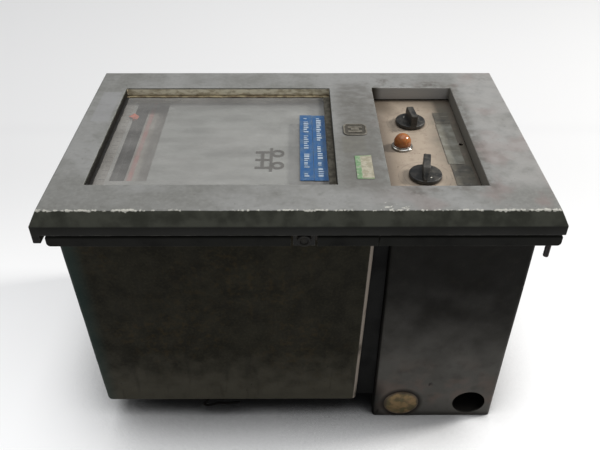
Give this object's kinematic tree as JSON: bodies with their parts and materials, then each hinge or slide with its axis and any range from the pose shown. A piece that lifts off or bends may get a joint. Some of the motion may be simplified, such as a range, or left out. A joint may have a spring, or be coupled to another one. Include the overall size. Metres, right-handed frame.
{
  "type": "panel-mounted indicating controller",
  "caption": "Old panel-mounted indicating controller: glazed hinged door over a scale with an index, knobs and lamp beside it, deep drawn case, terminal box with conduit knockouts.",
  "frame": {"origin": "centre of the plane that the instrument rests on when it lies on its back, under the middle of the door, on the rear cover's outer face", "axes": "+X towards the instrument's lower end, +Y towards the hinge side of the door, +Z out of the instrument's face"},
  "size_m": [0.2894, 0.1854, 0.1856],
  "materials": {
    "door_paint": "worn grey enamel over a casting",
    "case_paint": "worn dark olive-brown enamel on sheet steel",
    "box_paint": "worn dark olive-grey enamel on sheet steel",
    "flange_paint": "dark enamel rubbed bright on the rolled edge",
    "black_paint": "flat black",
    "panel_paint": "faded pinkish-beige enamel",
    "plate_paint": "faded grey enamel",
    "strip_paint": "aged cream enamel",
    "badge_paint": "dark enamel",
    "index_paint": "orange enamel",
    "pointer_paint": "red enamel",
    "steel": "dull zinc-plated steel",
    "dark_steel": "dark oxidised steel",
    "chrome_ring": "dulled chrome",
    "brass": "tarnished brass",
    "magnet_iron": "ground cast magnet alloy",
    "can_aluminium": "plain drawn aluminium",
    "copper_wire": "enamelled copper wire",
    "phenolic": "brown phenolic",
    "black_plastic": "black moulded phenolic",
    "knob_plastic": "worn dark grey moulded plastic",
    "tape_plastic": "blue embossed tape",
    "sticker_film": "faded green and off-white film",
    "seal_rubber": "black neoprene",
    "putty_rubber": "aged tan glazing strip",
    "loom_sleeve": "waxed cotton sleeve",
    "clear_glass": "dusty window glass",
    "tube_glass": "blown tube glass",
    "amber_lens": "amber moulded lens"
  },
  "bodies": {
    "case": {"mounting_flange": "flange_paint", "main_case": "case_paint", "terminal_box": "box_paint", "case_web": "black_paint", "knockout_plug": "brass", "rear_cover": "black_paint", "cover_screws": "steel", "panel_studs": "dark_steel", "case_hinge_leaves": "dark_steel", "hinge_pins": "steel", "case_gasket": "seal_rubber", "earth_wire": "loom_sleeve", "chassis_frame": "steel", "scale_plate": "plate_paint", "scale_strip": "strip_paint", "slot_backing": "strip_paint", "plate_badge": "badge_paint", "face_screws": "steel", "transformer_core": "dark_steel", "transformer_coil": "copper_wire", "capacitor_can": "can_aluminium", "tube_socket": "phenolic", "oscillator_tube": "tube_glass", "component_board": "phenolic", "relay_frame": "steel", "relay_coil": "copper_wire", "magnet": "magnet_iron", "pole_core": "dark_steel", "movement_bridges": "brass", "guide_rail": "steel", "control_panel": "panel_paint", "legend_plates": "badge_paint", "rotary_switch": "phenolic", "potentiometer": "steel", "lamp_bezel": "chrome_ring", "lamp_lens": "amber_lens", "lamp_holder": "brass", "rear_terminal_block": "black_plastic", "power_terminal_strip": "black_plastic", "terminal_screws": "brass", "wiring_loom": "loom_sleeve"},
    "door": {"door_frame": "door_paint", "window_glass": "clear_glass", "glass_gasket": "putty_rubber", "glass_clips": "steel", "door_nameplate": "badge_paint", "inspection_sticker": "sticker_film", "label_tape": "tape_plastic", "door_hinge_leaves": "dark_steel"},
    "latch": {"latch_button": "dark_steel", "latch_cam": "steel"},
    "selector": {"selector_knob": "knob_plastic", "selector_shaft": "steel"},
    "trimmer": {"trimmer_knob": "knob_plastic", "trimmer_shaft": "steel"},
    "pointer": {"moving_coil": "copper_wire", "pointer_arm": "pointer_paint"},
    "set_wheel": {"set_screw": "brass"},
    "set_index": {"set_pointer": "index_paint"},
    "relay_lever": {"relay_armature": "steel"}
  },
  "joints": [
    {"name": "door_hinge", "type": "hinge", "parent": "case", "child": "door", "pos_m": [0, 0.0931, 0.17], "axis": [-1, 0, 0], "range_deg": [0, 115]},
    {"name": "latch_turn", "type": "hinge", "parent": "door", "child": "latch", "pos_m": [0.0028, -0.0869, 0.1665], "axis": [0, 1, 0], "range_deg": [0, 90]},
    {"name": "selector_turn", "type": "hinge", "parent": "case", "child": "selector", "pos_m": [0.0753, 0.0273, 0.175], "axis": [0, 0, 1], "range_deg": [-60, 60]},
    {"name": "trimmer_turn", "type": "hinge", "parent": "case", "child": "trimmer", "pos_m": [0.0756, -0.0379, 0.175], "axis": [0, 0, 1], "range_deg": [-150, 150]},
    {"name": "pointer_swing", "type": "hinge", "parent": "case", "child": "pointer", "pos_m": [0.014, 0.011, 0.1615], "axis": [0, 0, -1], "range_deg": [0, 50]},
    {"name": "set_turn", "type": "hinge", "parent": "case", "child": "set_wheel", "pos_m": [-0.1235, 0, 0.16], "axis": [0, 1, 0], "range_deg": [-605, 2105]},
    {"name": "set_slide", "type": "slide", "parent": "case", "child": "set_index", "axis": [0, 1, 0], "range_m": [-0.07, 0.02]},
    {"name": "relay_rock", "type": "hinge", "parent": "case", "child": "relay_lever", "pos_m": [-0.073, -0.052, 0.1255], "axis": [0, 1, 0], "range_deg": [0, 5]}
  ],
  "couplings": [
    {"joint": "set_turn", "follows": "set_slide", "rad_per_m": -523.6}
  ]
}
